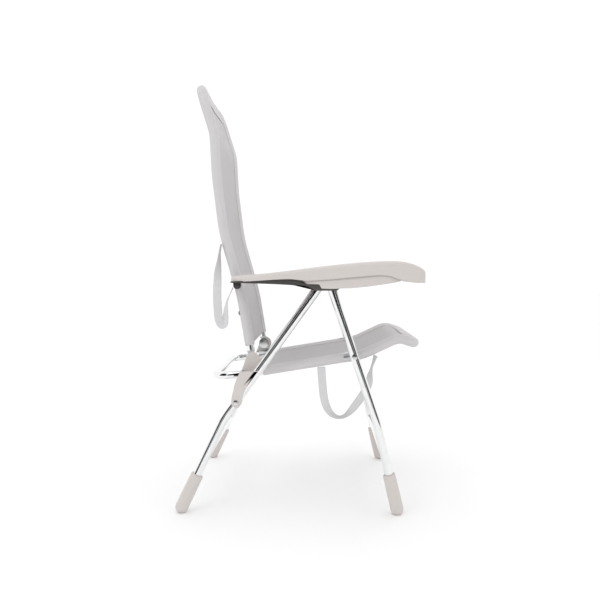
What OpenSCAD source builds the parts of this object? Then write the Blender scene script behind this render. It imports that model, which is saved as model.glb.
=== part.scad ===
// Folding high-back camp chair: bent aluminium tube frame, sling fabric, plastic arms and feet.
// +X is the way the sitter faces, +Z is up, and the origin lies on the floor under the middle.
// Side-plane points are written [x, z]; the left side has positive y and mirrors the right.

/* [Tubes] */
// Outer diameter of every frame tube
tube_d = 22; // [20:0.5:22.5]
// Wall thickness of the frame tubes
tube_wall = 1.5; // [1:0.1:2]
// Diameter of the pivot pins
pin_d = 8; // [6:0.5:9]
// Radial running clearance of a pin in its bore
pin_fit = 0.06; // [0.02:0.01:0.1]

/* [Widths] */
// Distance from the middle to the centre of the seat and back side tubes
frame_y = 202.5; // [195:0.5:203]
// Distance from the middle to the top of a rear leg
rear_leg_y = 258; // [256:0.5:259]
// Distance from the middle to the top of a front leg
front_leg_y = 281; // [280:0.5:282]
// Distance from the middle to every foot
foot_y = 270; // [266:0.5:274]
// Width of one armrest
arm_w = 69; // [68.5:0.5:72]

/* [Feet] */
// Diameter of a plastic foot sleeve
foot_d = 34; // [30:1:36]
// Length of a foot sleeve
foot_len = 112; // [90:1:125]

/* [Fabric] */
// Thickness of the sling fabric as a plain solid
fabric_t = 5; // [3:0.5:6]
// Gap between the fabric solid and the tubes beside it
fabric_gap = 3; // [3:0.1:6]

/* [Webbing] */
// Width of the carrying straps
strap_w = 22; // [18:1:24]
// Thickness of the carrying straps
strap_t = 3; // [2:0.5:4]

/* [Rack] */
// Number of notches under each armrest
notches = 7; // [5:1:7]
// Distance between two notches
notch_pitch = 20.5; // [18:0.5:20.5]

/* [Hidden] */
$fn = 48;

tube_r = tube_d / 2;
bore_r = pin_d / 2 + pin_fit;
eps = 0.01;

// Pivots in the side plane
apex = [74, 620];        // front leg, rear leg and armrest rack
seat_pivot = [144, 413]; // seat frame on the front leg
link_foot = [-164, 290]; // link arm on the rear leg
hinge = [-127, 398];     // backrest, seat bracket and the upper end of the link
arm_pivot = [-163, 595]; // armrest on the backrest

// Bent tubes in the side plane: corner points and bend radii
front_leg_x = [apex, [202, 242], [256, 14]];
front_leg_bends = [0, 220, 0];
rear_leg_x = [apex, [-196, 246], [-307, 14]];
rear_leg_bends = [0, 160, 0];
seat_side = [[-229, 348.3], [-150, 355.5], [168, 408.4], [214, 430]];
seat_bends = [0, 120, 140, 0];
seat_nose = [[214.09, 430.04], [266, 454.4], [309, 440]];
back_side = [[-131, 420], [-155, 566], [-203, 737], [-221, 885], [-227, 1000], [-266.3, 1125]];
back_bends = [0, 500, 500, 700, 130, 0];
rear_corner_r = 48;
nose_corner_r = 22;
top_corner_r = 52;
top_bow = [-3, -4];      // how far the middle of the top rail hangs back and down

// The rack line is the way the apex pin slides under the armrest
rack_tilt = atan2(apex[1] - arm_pivot[1], apex[0] - arm_pivot[0]);
rack_y_in = 238;
rack_y_out = 302;
rail_t = 7.5;
rail_h = 10.3;
rail_lift = pin_d / 2 + 0.3;

// Sleeve feet: how far the lower sphere sinks into the floor plane before it is cut flat
foot_tip_z = 14;

metal = [0.80, 0.81, 0.82];
steel = [0.66, 0.67, 0.68];
plastic = [0.84, 0.81, 0.79];
cloth = [0.74, 0.73, 0.74];
webbing = [0.80, 0.80, 0.81];

// ---------- vectors and paths ----------
function unit(v) = v / norm(v);
function last(v) = v[len(v) - 1];
// A side-plane point list lifted to 3D at the widths ys
function at_y(pts, ys) = [for (i = [0:len(pts) - 1]) [pts[i][0], ys[i], pts[i][1]]];
function flat_y(pts, y) = [for (p = pts) [p[0], y, p[1]]];
function flip_y(pts) = [for (p = pts) [p[0], -p[1], p[2]]];
function backwards(v) = [for (i = [len(v) - 1:-1:0]) v[i]];
// Length that a bend takes from each of the straights beside corner i
function bend_cut(p, r, i) =
    (i == 0 || i == len(p) - 1) ? 0 :
    r[i] * tan(acos(min(1, unit(p[i] - p[i - 1]) * unit(p[i + 1] - p[i]))) / 2);

// Children drawn along +Z, moved to run from a towards b
module aim(a, b) {
    d = b - a;
    translate(a) rotate([0, acos(d[2] / norm(d)), atan2(d[1], d[0])]) children();
}

// Children drawn about the origin, moved to a side-plane pivot with +Y as their axis
module at_pivot(p, y) {
    translate([p[0], y, p[1]]) rotate([-90, 0, 0]) children();
}

// A rod along a 3D corner list with a bend radius at each corner. The bends are a hair thicker
// than the straights and run a little over them, so that the two join cleanly.
bend_swell = 0.05;
bend_lap = 0.6;
module bent_rod(p, r, rod_r, over = 0) {
    n = len(p) - 1;
    for (i = [0:n - 1]) {
        d = unit(p[i + 1] - p[i]);
        a = p[i] + d * (bend_cut(p, r, i) - (i == 0 ? over : bend_lap));
        b = p[i + 1] - d * (bend_cut(p, r, i + 1) - (i == n - 1 ? over : bend_lap));
        aim(a, b) cylinder(h = norm(b - a), r = rod_r);
    }
    for (i = [1:1:n - 1]) {
        d1 = unit(p[i] - p[i - 1]);
        d2 = unit(p[i + 1] - p[i]);
        lap = atan(bend_lap / r[i]);
        turn = acos(min(1, d1 * d2));
        centre = p[i] + unit(d2 - d1) * r[i] / cos(turn / 2);
        e1 = unit(p[i] - d1 * bend_cut(p, r, i) - centre);
        e3 = cross(e1, d1);
        multmatrix([
            [e1[0], d1[0], e3[0], centre[0]],
            [e1[1], d1[1], e3[1], centre[1]],
            [e1[2], d1[2], e3[2], centre[2]],
            [0, 0, 0, 1]
        ]) rotate([0, 0, -lap]) rotate_extrude(angle = turn + 2 * lap)
            translate([r[i], 0]) circle(r = rod_r + bend_swell);
    }
}

module bent_tube(p, r, r_out = tube_r, r_in = tube_r - tube_wall) {
    difference() {
        bent_rod(p, r, r_out);
        bent_rod(p, r, r_in, over = 1);
    }
}

// A copy of the children on the left side as well
module both_sides() {
    children();
    mirror([0, 1, 0]) children();
}

// A pin with a low round head on each end, from y0 to y1 on the right or left side
module headed_pin(p, y0, y1, d = pin_d, head_d = 14, head_t = 2.5) {
    at_pivot(p, y0) cylinder(h = y1 - y0, d = d);
    at_pivot(p, y0 - head_t) cylinder(h = head_t, d = head_d);
    at_pivot(p, y1) cylinder(h = head_t, d = head_d);
}

module pivot_bore(p, y, reach = 20) {
    at_pivot(p, y - reach) cylinder(h = 2 * reach, r = bore_r);
}

// ---------- seat ----------
module seat_frame() {
    side = flat_y(seat_side, -frame_y);
    path = concat(backwards(side), flip_y(side));
    bends = concat([0, seat_bends[2], seat_bends[1], rear_corner_r],
                   [rear_corner_r, seat_bends[1], seat_bends[2], 0]);
    color(metal) bent_tube(path, bends);
}

module seat_front_bar() {
    side = flat_y(seat_nose, -frame_y);
    color(metal) bent_tube(concat(side, backwards(flip_y(side))), [0, 46, nose_corner_r, nose_corner_r, 46, 0]);
}

// Strip of cloth between the side tubes: a ribbon along a side-plane line
module sling(line, half_w) {
    n = len(line) - 1;
    edge = [for (i = [0:n]) let (
        d = unit(line[min(n, i + 1)] - line[max(0, i - 1)])
    ) [-d[1], d[0]] * fabric_t / 2];
    translate([0, half_w, 0]) rotate([90, 0, 0]) linear_extrude(2 * half_w) polygon(concat(
        [for (i = [0:n]) line[i] + edge[i]],
        [for (i = [n:-1:0]) line[i] - edge[i]]
    ));
}

fabric_half = frame_y - tube_r - fabric_gap;
seat_line = [[-98, 369], [165, 414], [205, 431], [240, 448.5], [255, 453], [270, 453.5], [284, 450], [293.5, 446.5]];
module seat_fabric() {
    color(cloth) sling(seat_line, fabric_half);
}

// Rod of radius r and length len along the seat side tube, centred on the tube above or below x
module on_seat_tube(x, len, r) {
    a = seat_side[1];
    d = unit(seat_side[2] - a);
    mid = a + d * (x - a[0]) / d[0];
    aim([mid[0] - d[0] * len / 2, frame_y, mid[1] - d[1] * len / 2], [mid[0], frame_y, mid[1]])
        cylinder(h = len, r = r);
}
saddle_t = 2.5;
saddle_fit = 0.02;

// Plate with the hinge bore, clamped round the seat side tube by a saddle
module seat_hinge_brackets() {
    plate_y = frame_y + tube_r + 0.2;
    plate_t = 4.4;
    plate_w = 22;
    drop = 38;
    color(metal) both_sides() difference() {
        union() {
            at_pivot(hinge, plate_y) cylinder(h = plate_t, d = plate_w);
            translate([hinge[0] - plate_w / 2, plate_y, hinge[1] - drop]) cube([plate_w, plate_t, drop]);
            on_seat_tube(hinge[0], 32, tube_r + saddle_t);
        }
        on_seat_tube(hinge[0], 60, tube_r + saddle_fit);
        pivot_bore(hinge, plate_y);
    }
}

// Saddle on the seat side tube with a long boss out to the front leg
module seat_pivot_brackets() {
    color(metal) both_sides() difference() {
        union() {
            on_seat_tube(seat_pivot[0] - 10, 30, tube_r + saddle_t);
            at_pivot(seat_pivot, frame_y) cylinder(h = front_leg_y - tube_r - 0.3 - frame_y, d = 15);
        }
        on_seat_tube(seat_pivot[0], 60, tube_r + saddle_fit);
        at_pivot(seat_pivot, frame_y + tube_r + 4) cylinder(h = 80, r = bore_r);
    }
}

module seat_pivot_bolts() {
    y_out = front_leg_y + tube_r + 0.6;
    y_in = frame_y + tube_r + 5;
    color(steel) both_sides() {
        at_pivot(seat_pivot, y_in) cylinder(h = y_out - y_in, d = pin_d);
        at_pivot(seat_pivot, y_out) cylinder(h = 3, d = 15);
    }
}

// ---------- backrest ----------
module back_frame() {
    side = flat_y(back_side, -frame_y);
    top = last(back_side) + top_bow;
    path = concat(side, [[top[0], 0, top[1]]], backwards(flip_y(side)));
    half = [back_bends[0], back_bends[1], back_bends[2], back_bends[3], back_bends[4], top_corner_r];
    color(metal) difference() {
        bent_tube(path, concat(half, [900], backwards(half)));
        both_sides() pivot_bore(arm_pivot, frame_y);
    }
}

// Slightly bowed rail that keeps the side tubes apart behind the small of the back
module back_lower_bar() {
    z = 520;
    x = -147.6;
    low = back_side[0];
    up = back_side[1];
    color(metal) difference() {
        bent_tube(
            [[x - 9, -frame_y + 5, z], [x - 11.5, -frame_y + 60, z], [x - 11.5, frame_y - 60, z],
             [x - 9, frame_y - 5, z]],
            [0, 300, 300, 0], r_out = 8, r_in = 6.6
        );
        both_sides() aim([low[0], frame_y, low[1]], [up[0], frame_y, up[1]]) cylinder(h = 140, r = tube_r + saddle_fit);
    }
}

back_line = [
    [-129, 436], [-150, 566], [-174, 650], [-198, 737], [-210, 800], [-216, 885], [-221, 960],
    [-223, 1000], [-229, 1033], [-241, 1062], [-257, 1105]
];
// The upper corners follow the bend of the top rail
module back_fabric() {
    corner_r = top_corner_r - tube_r - fabric_gap;
    corner_y = frame_y - top_corner_r;
    corner_z = last(back_side)[1] - top_corner_r - 2;
    color(cloth) intersection() {
        sling(back_line, fabric_half);
        translate([-400, 0, 0]) rotate([90, 0, 90]) linear_extrude(400) polygon(concat(
            [[fabric_half, 400]],
            [for (a = [0:18:90]) [corner_y + corner_r * cos(a), corner_z + corner_r * sin(a)]],
            [for (a = [90:-18:0]) [-corner_y - corner_r * cos(a), corner_z + corner_r * sin(a)]],
            [[-fabric_half, 400]]
        ));
    }
}

// Plug in the lower end of each back tube with the hinge eye below it
module back_knuckles() {
    eye_r = 10;
    eye_t = 14;
    low = back_side[0];
    up = back_side[1];
    d = unit(up - low);
    color(plastic) both_sides() difference() {
        union() {
            at_pivot(hinge, frame_y - eye_t / 2) cylinder(h = eye_t, r = eye_r);
            aim([hinge[0], frame_y, hinge[1]], [low[0], frame_y, low[1]])
                translate([-eye_t / 2, -eye_t / 2, 0]) cube([eye_t, eye_t, norm(low - hinge) - 2]);
            aim([low[0] - d[0] * 5, frame_y, low[1] - d[1] * 5], [low[0], frame_y, low[1]])
                cylinder(h = 4.95, r = tube_r - 0.4);
            aim([low[0] - d[0] * 3, frame_y, low[1] - d[1] * 3], [low[0], frame_y, low[1]])
                cylinder(h = 27, r = tube_r - tube_wall - 0.05);
        }
        pivot_bore(hinge, frame_y);
    }
}

// Each hinge pin carries a broad disc on the inner side of the eye
module hinge_pins() {
    color(steel) both_sides() {
        y_in = frame_y - 7.6;
        at_pivot(hinge, y_in) cylinder(h = frame_y + tube_r + 4.9 - y_in, d = pin_d);
        at_pivot(hinge, y_in - 4.2) cylinder(h = 4.2, d = 33);
    }
}

// ---------- legs ----------
front_path = at_y(front_leg_x, [front_leg_y, front_leg_y, foot_y]);
rear_path = at_y(rear_leg_x, [rear_leg_y, rear_leg_y, foot_y]);

module front_leg() {
    color(metal) difference() {
        bent_tube(front_path, front_leg_bends);
        pivot_bore(apex, front_leg_y);
        pivot_bore(seat_pivot, front_leg_y);
    }
}

module rear_leg() {
    color(metal) difference() {
        bent_tube(rear_path, rear_leg_bends);
        pivot_bore(apex, rear_leg_y);
        pivot_bore(link_foot, rear_leg_y);
    }
}

module front_leg_left() { front_leg(); }
module front_leg_right() { mirror([0, 1, 0]) front_leg(); }
module rear_leg_left() { rear_leg(); }
module rear_leg_right() { mirror([0, 1, 0]) rear_leg(); }

// Point on a leg's lowest straight at height z
function on_shank(path, z) =
    let (a = path[1], b = path[2]) b + (a - b) * (z - b[2]) / (a[2] - b[2]);

crossbar_z = 140;
crossbar_r = 9;
module crossbar(path) {
    p = on_shank(path, crossbar_z);
    q = [p[0], p[1] - tube_r - 0.2, p[2]];
    color(metal) aim([q[0], -q[1], q[2]], q) difference() {
        cylinder(h = 2 * q[1], r = crossbar_r);
        translate([0, 0, -1]) cylinder(h = 2 * q[1] + 2, r = crossbar_r - tube_wall);
    }
}
module front_crossbar() { crossbar(front_path); }
module rear_crossbar() { crossbar(rear_path); }

// Sleeve on the foot of a leg: round below, flat where it stands
module foot_sleeve(path) {
    tip = path[2];
    up = unit(path[1] - path[2]);
    color(plastic) difference() {
        union() {
            translate(tip) sphere(d = foot_d - 2 * bend_swell);
            aim(tip, tip + up) cylinder(h = foot_len - foot_d / 2 - 3, d = foot_d);
            aim(tip + up * (foot_len - foot_d / 2 - 5), tip + up * foot_len) cylinder(h = 5, d = foot_d - 3);
        }
        aim(tip, tip + up) cylinder(h = 2 * foot_len, r = tube_r + 0.02);
        translate([tip[0] - 50, tip[1] - 50, -20]) cube([100, 100, 20]);
    }
}
module front_foot_left() { foot_sleeve(front_path); }
module front_foot_right() { mirror([0, 1, 0]) foot_sleeve(front_path); }
module rear_foot_left() { foot_sleeve(rear_path); }
module rear_foot_right() { mirror([0, 1, 0]) foot_sleeve(rear_path); }

// Plug with a bore in the open top end of a leg
module end_plug(path, y) {
    d = unit(path[1] - path[0]);
    color(plastic) both_sides() difference() {
        aim(path[0] - d * 6, path[0]) cylinder(h = 6 - 0.05, r = tube_r - 0.3);
        pivot_bore(apex, y);
    }
}
module leg_end_plugs_front() { end_plug(front_path, front_leg_y); }
module leg_end_plugs_rear() { end_plug(rear_path, rear_leg_y); }

module apex_pins() {
    color(steel) both_sides()
        at_pivot(apex, rack_y_in + 1) cylinder(h = rack_y_out - rack_y_in - 2, d = pin_d);
}

// ---------- link arms ----------
// Channel that straddles the rear leg at its foot and reaches in to the seat hinge at its head
link_w = 30;
link_t = 3;
link_in_y = rear_leg_y - tube_r - 0.6 - link_t;
link_out_y = rear_leg_y + tube_r + 0.6;
link_head_y = frame_y + tube_r + 5.3;
module link_arm() {
    v = hinge - link_foot;
    l = norm(v);
    color(plastic) difference() {
        at_pivot(link_foot, 0) rotate([0, 0, -atan2(v[1], v[0])]) union() {
            for (y = [link_in_y, link_out_y]) translate([0, 0, y]) {
                cylinder(h = link_t, d = link_w);
                translate([0, -link_w / 2, 0]) cube([l * 0.62, link_w, link_t]);
            }
            translate([l * 0.36, -link_w / 2, link_in_y])
                cube([l * 0.26, link_t, link_out_y + link_t - link_in_y]);
            translate([l * 0.58, -link_w / 2, link_head_y])
                cube([link_t + 2, link_w * 0.62, link_out_y + link_t - link_head_y]);
            translate([l * 0.58, -link_w / 2, link_head_y]) cube([l * 0.42, link_w, 5]);
            translate([l, 0, link_head_y]) cylinder(h = 5, d = link_w);
        }
        pivot_bore(link_foot, rear_leg_y, 40);
        pivot_bore(hinge, link_head_y, 12);
    }
}
module link_left() { link_arm(); }
module link_right() { mirror([0, 1, 0]) link_arm(); }

module link_pins() {
    color(steel) both_sides()
        headed_pin(link_foot, link_in_y - 0.4, link_out_y + link_t + 0.4, head_d = 13, head_t = 2.4);
}

// ---------- armrests ----------
arm_y = (rack_y_in + rack_y_out) / 2;
arm_wall = (arm_w - (rack_y_out - rack_y_in)) / 2;
arm_roof = 3.5;

// Point on a cubic curve with four control points
function cubic(c, t) =
    c[0] * pow(1 - t, 3) + 3 * c[1] * t * pow(1 - t, 2) + 3 * c[2] * t * t * (1 - t) + c[3] * pow(t, 3);
function curve(c, n) = [for (i = [0:n]) cubic(c, i / n)];

arm_top = concat(
    curve([[-174, 620], [-60, 620], [60, 650], [215, 657]], 10),
    curve([[240, 657], [278, 657], [306, 644], [316, 638]], 6),
    curve([[320, 634], [322, 626], [323, 616], [324.2, 602]], 3)
);
arm_under = concat(
    [[256, 603.4]],
    curve([[216, 601], [170, 592], [130, 587], [60, 587]], 8),
    curve([[46, 587], [22, 592], [16, 606], [-22, 612]], 5),
    [[-60, 611], [-122, 606], [-170, 604.5], [-174, 608]]
);

module arm_shell() {
    translate([0, arm_y + arm_w / 2, 0]) rotate([90, 0, 0])
        linear_extrude(arm_w) polygon(concat(arm_top, arm_under));
}

// The hollow under the roof, open downwards
module arm_hollow() {
    translate([0, rack_y_out, 0]) rotate([90, 0, 0]) linear_extrude(rack_y_out - rack_y_in) intersection() {
        translate([0, -arm_roof]) polygon(concat(arm_top, [[323, 540], [-174, 540]]));
        translate([-166, 540]) square([166 + 321, 200]);
    }
}

module armrest() {
    lug_r = 10;
    lug_t = 6;
    color(plastic) difference() {
        union() {
            difference() {
                arm_shell();
                arm_hollow();
            }
            at_pivot(arm_pivot, rack_y_in) cylinder(h = lug_t, r = lug_r);
            translate([arm_pivot[0] - lug_r, rack_y_in - 0.5, arm_pivot[1]]) cube([2 * lug_r, lug_t + 0.5, 24]);
        }
        pivot_bore(arm_pivot, rack_y_in);
    }
}
module armrest_left() { armrest(); }
module armrest_right() { mirror([0, 1, 0]) armrest(); }

// Insert with two notched rails: the apex pin stands in one notch of each
module arm_rack() {
    run = notch_pitch * (notches - 1);
    color(steel) translate([apex[0], 0, apex[1]]) rotate([0, -rack_tilt, 0]) {
        for (y = [rack_y_in + 0.2, rack_y_out - 0.2 - rail_t]) difference() {
            translate([-9, y, rail_lift]) cube([run + 18, rail_t, rail_h]);
            for (i = [0:notches - 1]) translate([i * notch_pitch, y - 1, 0]) rotate([-90, 0, 0])
                cylinder(h = rail_t + 2, d = pin_d + 3.4);
        }
        translate([-9, rack_y_in + 0.2, rail_lift + rail_h - 1]) cube([run + 18, rack_y_out - rack_y_in - 0.4, 1.6]);
    }
}
module arm_rack_left() { arm_rack(); }
module arm_rack_right() { mirror([0, 1, 0]) arm_rack(); }

// Distance pieces between the back tubes and the discs of the arm pins
arm_disc_y = frame_y + tube_r + 14;
module arm_spacers() {
    color(plastic) both_sides() difference() {
        at_pivot(arm_pivot, frame_y + tube_r - 0.5) cylinder(h = arm_disc_y - frame_y - tube_r, d = 15);
        aim([back_side[1][0], frame_y, back_side[1][1]], [back_side[2][0], frame_y, back_side[2][1]])
            cylinder(h = 80, r = tube_r + saddle_fit);
        pivot_bore(arm_pivot, frame_y + 20, 40);
    }
}

// Each arm pin carries a broad disc between the back tube and the armrest
module arm_pins() {
    color(steel) both_sides() {
        headed_pin(arm_pivot, frame_y - tube_r - 0.6, rack_y_in + 6.4, head_d = 14, head_t = 2);
        at_pivot(arm_pivot, arm_disc_y) cylinder(h = 4, d = 34);
    }
}

// ---------- carrying straps ----------
strap_y = -209;
// Strap on the back tube, in [x, z]: from the upper seam down, round the bottom and up to the lower seam
back_handle_route = [
    [-209, 704], [-213, 683], [-215, 657], [-218, 632], [-219, 608], [-220, 582], [-220, 556], [-219, 536],
    [-218, 515], [-215, 498], [-210, 487], [-204, 485], [-199, 493], [-198, 509], [-197, 526], [-195, 548],
    [-189, 565], [-182, 577], [-178, 588]
];
// Strap under the seat tube: from the rear seam down, forwards and up to the front seam
seat_handle_route = [
    [59, 376], [60, 352], [62, 330], [64, 308], [67, 287], [73, 268], [83, 252], [96, 242], [111, 239],
    [126, 246], [141, 261], [157, 282], [169, 299], [179, 316], [187, 335], [189, 354], [194, 378],
    [200, 395], [204, 407]
];

// Flat woven strap swept along its route: rings of an oval that is wide across the chair
module strap(route) {
    sides = 8;
    n = len(route);
    rings = [for (i = [0:n - 1]) let (
        d = unit(route[min(n - 1, i + 1)] - route[max(0, i - 1)])
    ) each [for (k = [0:sides - 1]) let (
        a = 360 * (k + 0.5) / sides, w = strap_w / 2 * cos(a), t = strap_t / 2 * sin(a)
    ) [route[i][0] - d[1] * t, strap_y + w, route[i][1] + d[0] * t]]];
    walls = [for (i = [0:n - 2]) for (k = [0:sides - 1]) let (a = i * sides, b = (k + 1) % sides)
        [a + k, a + b, a + sides + b, a + sides + k]];
    color(webbing) polyhedron(rings, concat(
        walls, [[for (k = [sides - 1:-1:0]) k]], [[for (k = [0:sides - 1]) (n - 1) * sides + k]]
    ), convexity = 8);
}
module back_handle() { strap(back_handle_route); }
module seat_handle() { strap(seat_handle_route); }

seat_frame();
seat_front_bar();
seat_fabric();
seat_hinge_brackets();
seat_pivot_brackets();
seat_pivot_bolts();
back_frame();
back_lower_bar();
back_fabric();
back_knuckles();
hinge_pins();
front_leg_left();
front_leg_right();
front_crossbar();
front_foot_left();
front_foot_right();
rear_leg_left();
rear_leg_right();
rear_crossbar();
rear_foot_left();
rear_foot_right();
apex_pins();
leg_end_plugs_front();
leg_end_plugs_rear();
link_left();
link_right();
link_pins();
arm_spacers();
arm_pins();
armrest_left();
armrest_right();
arm_rack_left();
arm_rack_right();
back_handle();
seat_handle();
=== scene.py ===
"""Looks of a folding high-back camp chair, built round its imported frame.

+X is the way the sitter faces, +Y the sitter's left, +Z up, in metres. The bent tubes, brackets,
racks, knuckles, spacers and plugs of the frame keep their meshes and get finishes. The slings, straps,
armrests, foot sleeves, link arms and pins are surfaces worked out here, and stand for the frame's plain
solids.
"""

import logging
import math
from dataclasses import dataclass, field
from enum import Enum
from typing import ClassVar

import bmesh
import bpy
import numpy as np
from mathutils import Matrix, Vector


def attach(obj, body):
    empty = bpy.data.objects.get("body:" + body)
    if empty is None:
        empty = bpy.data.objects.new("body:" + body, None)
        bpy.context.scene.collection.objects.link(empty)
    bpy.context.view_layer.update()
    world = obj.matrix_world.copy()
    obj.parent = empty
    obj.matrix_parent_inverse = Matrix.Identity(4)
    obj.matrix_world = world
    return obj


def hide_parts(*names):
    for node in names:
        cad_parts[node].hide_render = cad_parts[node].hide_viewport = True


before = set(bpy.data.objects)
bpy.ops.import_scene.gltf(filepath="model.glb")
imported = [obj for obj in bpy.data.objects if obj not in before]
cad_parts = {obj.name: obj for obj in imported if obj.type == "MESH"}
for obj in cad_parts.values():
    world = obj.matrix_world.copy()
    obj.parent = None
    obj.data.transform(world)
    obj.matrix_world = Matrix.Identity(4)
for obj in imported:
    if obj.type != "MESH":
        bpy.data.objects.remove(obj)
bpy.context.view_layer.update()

LOG = logging.getLogger("camp_chair")
Array = np.ndarray
Point = tuple[float, float, float]
Colour = tuple[float, float, float]
SIDES = {"left": 1.0, "right": -1.0}
UV_NAME = "cloth"
# The Mix node has several sockets of each name, so its colour ones go by number.
MIX_LOW, MIX_HIGH, MIX_COLOUR = 6, 7, 2


class Body(Enum):
    """The frame's moving bodies that pieces ride on."""

    SEAT = "seat"
    BACK = "back"
    FRONT_LEGS = "front_legs"
    REAR_LEGS = "rear_legs"
    LINKS = "links"
    HINGE_PINS = "hinge_pins"
    ARM_PINS = "arm_pins"
    ARMS = "arms"


class Slot(Enum):
    """The record's material slots."""

    TUBE = "frame_tube"
    BRACKET = "bracket"
    PIN = "pin"
    RACK = "rack"
    PLASTIC = "plastic"
    INNER = "inner_plastic"
    SLING = "sling"
    WEBBING = "webbing"


# ---------------------------------------------------------------- shader graphs


class Wire:
    """A shader socket that takes part in arithmetic; each operator adds one Math node."""

    def __init__(self, graph: "Graph", socket: bpy.types.NodeSocket) -> None:
        """Wraps socket, an output in graph."""
        self.graph = graph
        self.socket = socket

    def _math(self, operation: str, *values: "Wire | float") -> "Wire":
        """Adds a Math node.

        Args:
            operation: the node's operation.
            values: its inputs in order.

        Returns:
            The node's output.
        """
        made = self.graph.node("ShaderNodeMath", {"operation": operation}, dict(enumerate(values)))
        return Wire(self.graph, made.outputs[0])

    def __add__(self, other: "Wire | float") -> "Wire":
        """Sum."""
        return self._math("ADD", self, other)

    __radd__ = __add__

    def __sub__(self, other: "Wire | float") -> "Wire":
        """Difference."""
        return self._math("SUBTRACT", self, other)

    def __rsub__(self, other: float) -> "Wire":
        """Difference from a number."""
        return self._math("SUBTRACT", other, self)

    def __mul__(self, other: "Wire | float") -> "Wire":
        """Product."""
        return self._math("MULTIPLY", self, other)

    __rmul__ = __mul__

    def sine(self) -> "Wire":
        """Sine of the value in radians."""
        return self._math("SINE", self)

    def size(self) -> "Wire":
        """Absolute value."""
        return self._math("ABSOLUTE", self)

    def larger(self, other: "Wire | float") -> "Wire":
        """The larger of two values."""
        return self._math("MAXIMUM", self, other)

    def ramp(self, low: float, high: float) -> "Wire":
        """0 below low, 1 above high and a smooth step between them."""
        made = self.graph.node(
            "ShaderNodeMapRange",
            {"interpolation_type": "SMOOTHSTEP"},
            {"Value": self, "From Min": low, "From Max": high},
        )
        return Wire(self.graph, made.outputs[0])


class Graph:
    """The node tree of one material."""

    def __init__(self, name: str) -> None:
        """Starts an empty material called name."""
        self.material = bpy.data.materials.new(name)
        self.material.use_nodes = True
        self.tree = self.material.node_tree
        self.tree.nodes.clear()

    def node(self, kind: str, settings: dict, inputs: dict) -> bpy.types.Node:
        """Adds one node.

        Args:
            kind: the node's type.
            settings: its properties, set first.
            inputs: values, Wires or sockets by input name or number.

        Returns:
            The node.
        """
        made = self.tree.nodes.new(kind)
        for key, value in settings.items():
            setattr(made, key, value)
        for key, value in inputs.items():
            source = value.socket if isinstance(value, Wire) else value
            if isinstance(source, bpy.types.NodeSocket):
                self.tree.links.new(source, made.inputs[key])
            else:
                made.inputs[key].default_value = source
        return made

    def wire(self, kind: str, settings: dict, inputs: dict, output: str | int = 0) -> Wire:
        """Adds a node and wraps one of its outputs."""
        return Wire(self, self.node(kind, settings, inputs).outputs[output])

    def place(self) -> Wire:
        """Object coordinates, which are the frame's own metres."""
        return self.wire("ShaderNodeTexCoord", {}, {}, "Object")

    def cloth_axes(self) -> tuple[Wire, Wire]:
        """The two lengths along a woven surface, in metres, from its UV map."""
        uv = self.wire("ShaderNodeUVMap", {"uv_map": UV_NAME}, {})
        split = self.node("ShaderNodeSeparateXYZ", {}, {0: uv})
        return Wire(self, split.outputs[0]), Wire(self, split.outputs[1])

    def noise(self, scale: float, detail: float) -> Wire:
        """Smooth noise from 0 to 1, with about scale bumps in a metre."""
        inputs = {"Vector": self.place(), "Scale": scale, "Detail": detail, "Roughness": 0.5}
        return self.wire("ShaderNodeTexNoise", {}, inputs)

    def mix(self, factor: Wire, low: Wire | Colour, high: Colour) -> Wire:
        """A colour between low and high."""
        start = low if isinstance(low, Wire) else (*low, 1.0)
        inputs = {"Factor": factor, MIX_LOW: start, MIX_HIGH: (*high, 1.0)}
        return self.wire("ShaderNodeMix", {"data_type": "RGBA"}, inputs, MIX_COLOUR)

    def shaded(self, factor: Wire, dull: float, colour: Colour) -> Wire:
        """A colour that varies from dull times itself to itself."""
        return self.mix(factor, tuple(dull * c for c in colour), colour)

    def bump(self, height: Wire, distance: float) -> Wire:
        """A normal tilted by height, which is in units of distance metres."""
        return self.wire("ShaderNodeBump", {}, {"Height": height, "Distance": distance, "Strength": 1.0})

    def finish(self, inputs: dict) -> bpy.types.Material:
        """Ends the tree in a Principled shader with these inputs and returns the material."""
        shader = self.node("ShaderNodeBsdfPrincipled", {}, inputs)
        self.node("ShaderNodeOutputMaterial", {}, {"Surface": shader.outputs[0]})
        return self.material


@dataclass(frozen=True)
class Finish:
    """A surface finish; its material is made once."""

    name: str
    made: ClassVar[dict[str, bpy.types.Material]] = {}

    def material(self) -> bpy.types.Material:
        """The finish's material, made on its first use."""
        if self.name not in self.made:
            self.made[self.name] = self.shade(Graph(self.name))
        return self.made[self.name]

    def shade(self, graph: Graph) -> bpy.types.Material:
        """Builds the node tree; each finish has its own."""
        raise NotImplementedError

    def dress(self, piece: bpy.types.Object) -> bpy.types.Object:
        """Puts the finish on a piece, in place of what it has."""
        piece.data.materials.clear()
        piece.data.materials.append(self.material())
        return piece


@dataclass(frozen=True)
class Metal(Finish):
    """Bare metal with faint smears and a fine drawn grain."""

    colour: Colour = (0.87, 0.875, 0.88)
    roughness: float = 0.11
    smear: float = 0.07
    grain: float = 0.000012

    def shade(self, graph: Graph) -> bpy.types.Material:
        """Roughness is a base value plus smears; the bump is fine noise."""
        smears = graph.noise(38.0, 4.0).ramp(0.45, 0.75)
        grain = graph.noise(2400.0, 1.0)
        dull = tuple(0.93 * c for c in self.colour)
        return graph.finish(
            {
                "Base Color": graph.mix(smears, self.colour, dull),
                "Metallic": 1.0,
                "Roughness": smears * self.smear + self.roughness,
                "Normal": graph.bump(grain, self.grain),
            }
        )


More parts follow.
